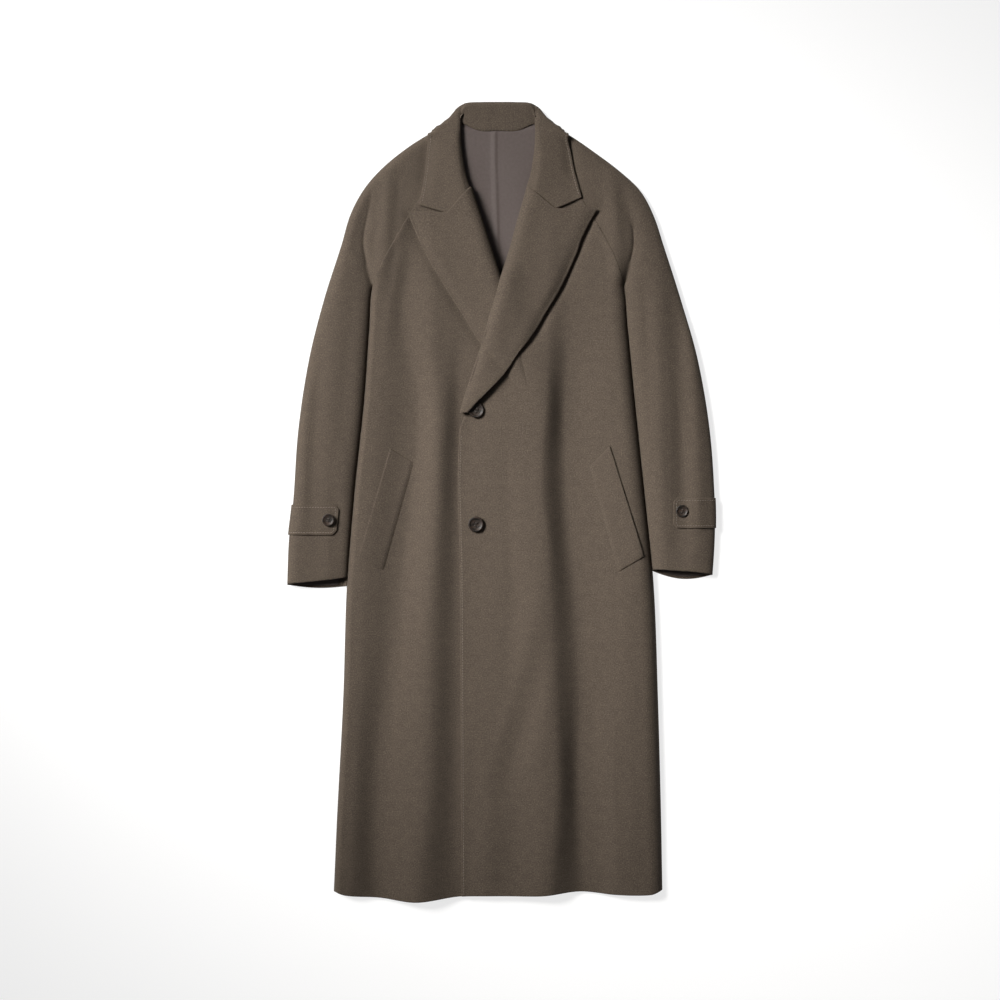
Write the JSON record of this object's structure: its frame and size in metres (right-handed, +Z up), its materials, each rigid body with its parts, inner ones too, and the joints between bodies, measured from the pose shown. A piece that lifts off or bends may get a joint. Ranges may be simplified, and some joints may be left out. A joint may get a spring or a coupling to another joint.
{
  "type": "coat, long overcoat laid flat",
  "caption": "Long lapped overcoat laid flat face up: raglan sleeves, peak lapels, slanted welt pockets, strapped cuffs, open hem.",
  "frame": {"origin": "on the surface that the coat lies on, under the middle of its outline", "axes": "+Z up off the surface towards the coat's front, +Y towards its collar, +X towards the side of its own left sleeve"},
  "size_m": [0.6857, 1.2785, 0.0352],
  "materials": {
    "cloth": "melange wool coating, matt with a soft nap",
    "lining": "thin twill lining with a soft sheen",
    "buttons": "polished dark brown horn-like resin"
  },
  "bodies": {
    "root": {"back": "cloth", "front_right": "cloth", "front_left": "cloth", "sleeve_front_right": "cloth", "sleeve_front_left": "cloth", "sleeve_back_right": "cloth", "sleeve_back_left": "cloth", "lapel_right": "cloth", "lapel_left": "cloth", "collar_stand": "cloth", "collar_fall": "cloth", "welt_right": "cloth", "welt_left": "cloth", "cuff_strap_right": "cloth", "cuff_strap_left": "cloth", "lining_back": "lining", "front_button_upper": "buttons", "front_button_lower": "buttons", "cuff_button_right": "buttons", "cuff_button_left": "buttons"}
  },
  "joints": []
}
